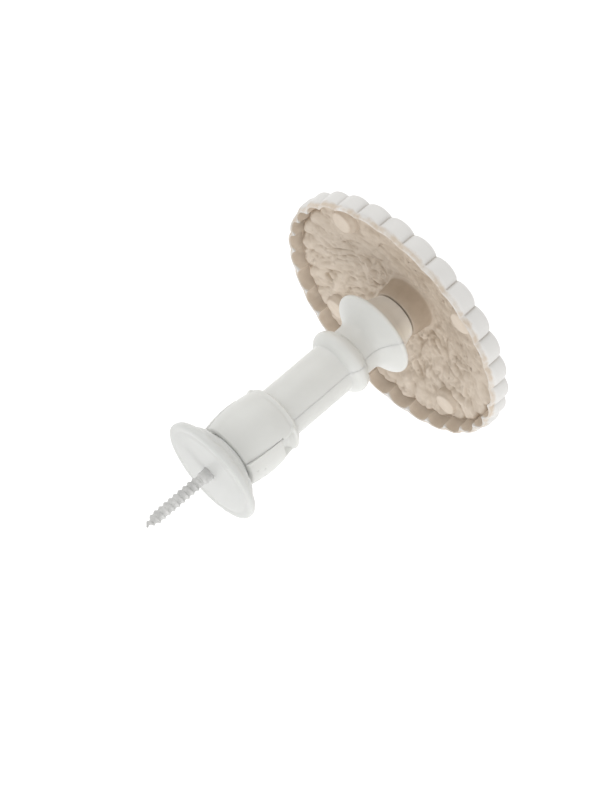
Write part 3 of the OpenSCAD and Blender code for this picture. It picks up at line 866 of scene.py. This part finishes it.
def petals(r, th, n, off, r0, r1, wide=1.0, lift=1.0):
    """one ring of n rounded petals between r0 and r1: height 0..lift, 0 outside"""
    f = (th * n / (2 * math.pi) + off + 0.5) % 1 - 0.5
    t = (r - r0) / (r1 - r0)
    w = wide * 0.5 * np.sqrt(np.clip(1 - np.clip((t - 0.55) / 0.45, 0, 1) ** 2, 0, 1)) * np.clip(0.62 + 0.5 * t, 0, 1)
    q = np.clip(1 - (f / np.maximum(w, 1e-4)) ** 2, 0, 1)
    body = np.sqrt(q) * (0.35 + 0.65 * np.clip(t, 0, 1)) * (t < 1)
    vein = 0.22 * np.exp(-(f / 0.035) ** 2) * np.clip(t * 2, 0, 1) * np.clip((0.95 - t) * 5, 0, 1)
    side = 0.10 * np.cos(f * 2 * math.pi * 5) * q * np.clip(t, 0, 1)
    return np.where(t > -0.3, lift * np.clip(body - vein - side * 0.5, 0, 1), 0) * (q > 0)


def front_height(r, th, u):
    """station of the painted front at radius r (lobed edge excluded)"""
    base = np.interp(r, [0, 4, 9, 13, 14.5, 16, 20, 24, 30, 38, 43, 44.2, 47, 49, 52, 56, 60],
                     [129.2, 128.9, 127.6, 125.4, 124.3, 124.0, 123.5, 122.9, 121.9, 120.1, 118.7, 118.2, 117.6, 117.9, 118.3, 117.0, 114.4])
    h = base
    # outer flutes run in from the scallops
    k = sstep(46.3, 48.0, r)
    h = h - k * 1.5 * (np.abs(2 * u) ** 2.4) * sstep(46, 52, r) - k * 0.5 * np.exp(-((np.abs(u) - 0.5) / 0.05) ** 2)
    # ring of pearls
    n = 54
    f = (th * n / (2 * math.pi) + 0.25 + 0.5) % 1 - 0.5
    d = np.hypot(f * 2 * math.pi * 44.6 / n, r - 44.6) / 2.15
    pearl = 1.9 * np.sqrt(np.clip(1 - d * d, 0, 1))
    h = np.where(d < 1, np.maximum(h, 117.7 + pearl), h)
    # two layers of leaves
    l1 = petals(r, th, 16, 0.0, 18, 42.2, 0.98, 1.9)
    l2 = petals(r, th, 16, 0.5, 15, 35.0, 0.94, 1.9)
    l3 = petals(r, th, 8, 0.0, 14, 26.5, 0.94, 1.7)
    inner = np.maximum(np.maximum(l1 - 0.9, l2 * 1.0 + 0.35 * (l2 > 0)), (l3 + 1.0) * (l3 > 0))
    inner = np.where((r > 15.5) & (r < 42.3), np.maximum(inner, -0.9), 0)
    h = h + inner * sstep(15.2, 17.0, r)
    # button: raised ring, then eight lobes round a boss
    ring = 0.9 * np.exp(-((r - 14.2) / 0.9) ** 2)
    b = petals(r, th, 8, 0.25, 3.5, 12.5, 0.96, 1.2) * (r < 12.6)
    h = h + ring + b * (r > 3.6) - 0.5 * np.exp(-((r - 3.9) / 0.5) ** 2)
    return h


def back_relief(r, th, u):
    """height of the rough cast relief above the smooth floor, mm towards the wall"""
    x, y = r * np.cos(th), r * np.sin(th)
    wx = (noise_xy(x, y, 9.0, 11, 2) - 0.5) * 5.0
    wy = (noise_xy(x, y, 9.0, 23, 2) - 0.5) * 5.0
    xw, yw = x + wx, y + wy
    rw, tw = np.hypot(xw, yw), np.arctan2(yw, xw) % (2 * math.pi)

    def puffs(n, rs, seed, tilt, p):
        """rounded mounds with narrow creases between them, longest outwards"""
        a = (tw * n / (2 * math.pi) + tilt * rw / 10) % n
        return np.abs(2 * lattice(a, rw / rs, n, seed) - 1) ** p
    k = sstep(22, 34, r)
    f1 = puffs(30, 6.0, 31, 0.6, 0.55) * (1 - k) + puffs(52, 11.0, 33, 1.4, 0.6) * k
    f2 = puffs(58, 4.0, 37, -1.2, 0.7) * (1 - k) + puffs(96, 5.0, 39, -1.0, 0.7) * k
    blob = noise_xy(xw, yw, 4.4, 41, 3)
    small = noise_xy(x, y, 1.9, 53, 2)
    # calmer on the upper side
    near = sstep(-0.1, 0.6, np.cos(th - math.radians(110)))
    calm = near * sstep(13, 17, r)
    h = (1.35 * (f1 - 0.62) + 0.85 * (f2 - 0.6)) * (1 - 0.80 * calm) + 1.9 * (blob - 0.5) * (1 - 0.3 * calm) + 0.75 * (small - 0.5) * (1 - 0.3 * calm)
    # small pits
    pit = noise_xy(xw + 40, yw - 30, 3.4, 61, 3)
    h = h - 1.15 * sstep(0.78, 0.90, pit)
    # a rounded tip behind each scallop
    tip = sstep(44.5, 48.5, r)
    lob = np.sqrt(np.clip(1 - (1.94 * u) ** 2, 0, 1))
    h = h * (1 - 0.22 * tip) + tip * (1.25 * lob - 0.75) * (1 - near)
    h = h * sstep(13.2, 16.5, r)
    return np.clip(h, -1.5, 1.45)


def floor_station(r):
    return np.interp(r, [0, 13, 20, 34, 44, 50, 56], [120.9, 120.8, 119.8, 116.5, 113.5, 111.7, 110.7])


def build_rosette():
    per = 22
    nu = NL * per
    th = np.arange(nu) / nu * 2 * math.pi + PHASE
    Ro, u = outline(th)
    Rb, _ = outline(th, RR - 0.8, DEEP - 0.3)
    upper = sstep(0.0, 0.6, np.cos(th - math.radians(110)))
    Ri, _ = outline(th, RR - 2.0 - 0.6 * upper, DEEP + 0.9 - 1.7 * upper)
    cusp = np.exp(-((0.5 - np.abs(u)) / 0.11) ** 2)
    rows = []     # rows of (R, S, paint, painted shading)

    def row(R, S, paint, painted_shading):
        rows.append((R + 0 * th, S + 0 * th, np.asarray(paint) + 0 * th, np.asarray(painted_shading) + 0 * th))

    # bore and boss; the boss side gets a low shading value, which is painted shade
    row(4.6, 122.2, 0, 0.3)
    for s in np.linspace(121.5, 112.2, 6):
        row(4.6, s, 0, 0.4)
    row(4.6, 112.0, 0, 0.5); row(5.6, 112.0, 0, 0.5); row(5.6, 110.95, 0, 0.6); row(5.75, 110.8, 0, 0.7)
    wob = 0.06 * np.sin(th * 3 + 1) + 0.04 * np.sin(th * 7)
    for r, s in ((7, 110.8), (9.5, 110.8), (10.6, 110.82), (11.0, 110.95), (11.3, 111.25), (11.6, 111.9), (11.85, 113.0), (12.0, 114.2), (12.1, 115.4),
                 (12.2, 116.6), (12.3, 117.7), (12.4, 118.8), (12.6, 119.7), (12.9, 120.3), (13.4, 120.7)):
        row(r + wob * (r > 10), s, 0, 0.15 if r > 11 and s < 119.9 else 0.35)
    # floor, out to the rounded tips
    Rf = 55.9 - 1.5 * np.abs(2 * u) ** 2.6
    deep = 1.3 * sstep(0.0, 0.7, np.cos(th - math.radians(110)))       # the dish is a little deeper on the upper side
    nfl = 104
    for t in np.linspace(0, 1, nfl)[1:]:
        r = 13.4 + (Rf - 13.4) * t
        h = back_relief(r, th, u)
        drop = 0.9 * np.clip((t - 0.965) / 0.035, 0, 1) ** 2
        # painted shading: the relief's hollows darker as painted shade, its high spots lighter as painted highlight,
        # and darker again on the upper side
        row(r, floor_station(r) - h * 0.95 + drop + deep * sstep(38, 50, r), 0, np.clip(0.53 + 0.36 * h - 0.15 * drop - 0.2 * upper * sstep(16, 24, r), 0, 1))
    # gutter behind the tips, then the inner wall with one hollow to a scallop; the gutter and hollows get painted
    # shade, the cusp ridges painted highlight
    s_end = rows[-1][1]
    row(Rf + 0.3, s_end * 0.6 + 113.0 * 0.4, 0, 0.35)
    row(Rf * 0.75 + Ri * 0.25, 112.9 - 0.6 * cusp, 0, 0.24 + 0.4 * cusp)
    row(Rf * 0.4 + Ri * 0.6, 113.1 - 0.8 * cusp, 0, 0.24 + 0.5 * cusp)
    x, y = Ri * np.cos(th), Ri * np.sin(th)
    # painted light on the inner wall: lighter towards the rim, on the cusp ridges, and in the hollows away from the
    # upper side
    for t in (0.0, 0.12, 0.26, 0.42, 0.58, 0.74, 0.86, 0.94):
        s = 113.0 + (106.6 - 113.0) * t
        n = (noise_xy(x, y + s * 1.7, 3.0, 71, 2) - 0.5) * 0.5 * math.sin(math.pi * t)
        row(Ri - 0.45 * (1 - t) ** 2 + n, s, 0.36 * sstep(0.7, 1, t) + 0.25 * cusp * t, 0.36 + 0.18 * t + (0.5 + 0.15 * t) * cusp + 0.35 * (1 - upper) * (1 - cusp))
    wav = (noise_xy(x, y, 6.0, 81, 2) - 0.5)
    Rc, _ = outline(th, 59.75, 1.1)
    row(Ri + 0.05, 106.30 + 0.15 * wav, 0.42 + 0.25 * cusp * (1 - upper), 0.66)
    row(Ri + 0.22, 106.08 + 0.10 * wav, 0.49 + 0.3 * cusp * (1 - upper), 0.72)
    row(Ri * 0.4 + Rc * 0.6 - 0.1, 106.0 + 0.03 * np.abs(wav), 0.495, 0.76)
    row(Rc - 0.06, 106.06, 0.465, 0.74)
    # bevel that the paint only dusts, then the pillowed side between the notches
    pil = np.abs(2 * u) ** 3
    nt = np.exp(-((0.5 - np.abs(u)) / 0.045) ** 2)       # crease at each notch, painted darker there as painted shade
    row(Rc + 0.06, 106.3, 0.455, 0.68)
    row(Rc + 0.16, 106.8 + 0.12 * wav, 0.455 + 0.2 * wav, 0.62)
    row(Rc + 0.22, 107.3 + 0.15 * pil, 0.47 + 0.2 * wav, 0.60)
    row(Rc + 0.42, 107.65 + 0.30 * pil, 0.53 + 0.1 * wav, 0.62)
    for s, f in ((107.95, 0.55), (108.4, 0.80), (109.0, 0.93), (109.8, 1.0), (110.8, 1.0), (111.8, 1.0), (112.9, 1.0)):
        row((Rc + 0.3) * (1 - f) + (Ro - 0.02) * f - 0.46 * nt * sstep(107.6, 108.6, s), s + 0.30 * pil * (1 - f),
            {107.95: 0.57, 108.4: 0.64, 109.0: 0.78}.get(s, 1) + 0.12 * wav, 0.66 - 0.62 * nt)
    for s, dr in ((113.7, 0.02), (114.3, 0.10), (114.8, 0.30), (115.3, 0.72), (115.75, 1.35), (116.15, 2.2), (116.5, 3.4), (116.85, 4.6), (117.1, 5.6)):
        fr = (s - 112.9) / 4.2
        row(Ro - 0.02 - dr - 0.46 * nt - fr * 0.8 * pil, s - 0.6 * pil * fr, 1, 0.64 - 0.55 * nt)
    # front
    r_edge = Ro - 5.6 - 0.8 * pil
    nfr = 96
    for t in np.linspace(1, 0, nfr)[1:-1]:
        r = r_edge * t
        s = front_height(r, th, u)
        mixk = sstep(0.93, 1.0, t * np.ones_like(r))
        s = s * (1 - mixk) + (117.1 - 0.6 * pil) * mixk
        # painted shading: the front's raised relief lighter as painted highlight, its hollows darker as painted shade
        base = np.interp(r, [0, 14, 24, 43, 60], [129, 124.6, 123.2, 118.6, 116.5])
        row(r, np.minimum(s, 129.9), 1, np.clip(0.5 + (s - base) * 0.28, 0, 1))
    R = np.array([r[0] for r in rows]); S = np.array([r[1] for r in rows])
    A = np.array([r[2] for r in rows]); C = np.array([r[3] for r in rows])
    nv = len(rows)
    V = np.stack([R * np.cos(th), R * np.sin(th), S], -1).reshape(-1, 3)
    V = np.vstack([V, [0, 0, 122.2], [0, 0, 129.3]])
    i = np.arange(nu)
    b = (nv - 1) * nu
    t0 = np.stack([np.full(nu, nv * nu), i, (i + 1) % nu], -1)
    t1 = np.stack([np.full(nu, nv * nu + 1), b + (i + 1) % nu, b + i], -1)
    faces = grid(nv, nu).tolist() + t0.tolist() + t1.tolist()
    paint = np.concatenate([A.ravel(), [0, 1]])
    painted_shading = np.concatenate([C.ravel(), [0.3, 0.9]])
    # four standoffs cast with the floor
    parts_v, parts_f, pp, pc = [], [], [], []
    base = len(V)
    n2 = 40
    for k in range(4):
        an = math.radians(46.9 + 90 * k)
        cx, cy = 47.7 * math.cos(an), 47.7 * math.sin(an)
        q = np.arange(n2) / n2 * 2 * math.pi
        end = 110.0 + 0.06 * math.sin(k * 2.1)
        prof = [(0, end), (2.8, end), (4.6, end + 0.05), (4.98, end + 0.2), (5.15, end + 0.5), (5.3, 110.7), (5.6, 111.2), (6.2, 111.8), (6.8, 112.6), (6.9, 116.0), (0, 116.0)]
        ring_v, st = [], base + sum(len(v) for v in parts_v)
        for r, s in prof[1:-1]:
            w = 1 + 0.02 * np.sin(3 * q + k)
            ring_v.append(np.stack([cx + r * w * np.cos(q), cy + r * w * np.sin(q), s + 0.05 * np.sin(q * 2 + k)], -1))
        m = len(ring_v)
        ring_v = np.array(ring_v).reshape(-1, 3)
        parts_v.append(np.vstack([ring_v, [cx, cy, end], [cx, cy, 116.0]]))
        i2 = np.arange(n2)
        f = grid(m, n2, base=st)
        parts_f += f[:, ::-1].tolist()
        parts_f += np.stack([np.full(n2, st + m * n2), st + i2, st + (i2 + 1) % n2], -1).tolist()
        parts_f += np.stack([np.full(n2, st + m * n2 + 1), st + (m - 1) * n2 + (i2 + 1) % n2, st + (m - 1) * n2 + i2], -1).tolist()
        pp += [0.0] * (m * n2 + 2)
        # painted shading: standoff end faces light as painted highlight, their sides darker as painted shade
        lv = np.array([0.95, 0.95, 0.9, 0.65, 0.55, 0.5, 0.45, 0.4, 0.4])[:m]
        pc += np.repeat(lv, n2).tolist() + [1.0, 0.3]
    V2 = np.vstack([V] + parts_v)
    me = bpy.data.meshes.new("rosette_v")
    me.from_pydata(world(V2).tolist(), [], faces + parts_f)
    for nm, val in (("paint", np.concatenate([paint, pp])), ("painted_shading", np.concatenate([painted_shading, pc]))):
        at = me.attributes.new(nm, "FLOAT", "POINT")
        at.data.foreach_set("value", val.astype(np.float32))
    bm = bmesh.new(); bm.from_mesh(me)
    bmesh.ops.recalc_face_normals(bm, faces=bm.faces)
    bm.to_mesh(me); bm.free()
    finish_mesh(me, 55)
    ob = bpy.data.objects.new("rosette_v", me)
    scene.collection.objects.link(ob)
    return ob


ros = put(build_rosette(), mat_resin)
attach(ros, "rosette_body", "cast_resin", "rosette")

# ------------------------------------------------------------------- studio
bpy.ops.mesh.primitive_plane_add(size=6, location=(0, 0, -0.26))
floor = bpy.context.object
floor.name = "floor"
fm, nt, b = new_mat("floor")
b.inputs["Base Color"].default_value = (0.92, 0.92, 0.92, 1)
b.inputs["Roughness"].default_value = 0.9
b.inputs["Specular IOR Level"].default_value = 0.0
b.inputs["Emission Color"].default_value = (1, 1, 1, 1)
b.inputs["Emission Strength"].default_value = 0.25
fn = obj_noise(nt, 3.0, 3, 0.5)
fr_ = ramp(nt, [(0.2, (0.90, 0.90, 0.90)), (0.8, (0.95, 0.95, 0.95))])
nt.links.new(fn.outputs["Fac"], fr_.inputs["Fac"])
nt.links.new(fr_.outputs["Color"], b.inputs["Base Color"])
floor.data.materials.append(fm)

wd = bpy.data.worlds.new("studio")
scene.world = wd
wd.use_nodes = True
wd.node_tree.nodes["Background"].inputs["Color"].default_value = (1.0, 0.995, 0.985, 1)
wd.node_tree.nodes["Background"].inputs["Strength"].default_value = 0.86


def area(name, loc, target, size, power, color=(1, 1, 1)):
    d = bpy.data.lights.new(name, "AREA")
    d.energy, d.size, d.color = power, size, color
    o = bpy.data.objects.new(name, d)
    scene.collection.objects.link(o)
    o.location = loc
    o.rotation_euler = (Vector(target) - Vector(loc)).to_track_quat("-Z", "Y").to_euler()
    return o


area("key", (0.9, -0.5, 1.1), (0, -0.05, 0), 1.2, 4.0)
area("fill", (-1.1, 0.3, 0.6), (0, -0.05, 0), 1.2, 1.2)
area("low", (-0.55, 0.45, -0.22), (0, -0.09, 0), 0.5, 1.6)

scene.view_settings.view_transform = "Standard"
scene.view_settings.look = "None"
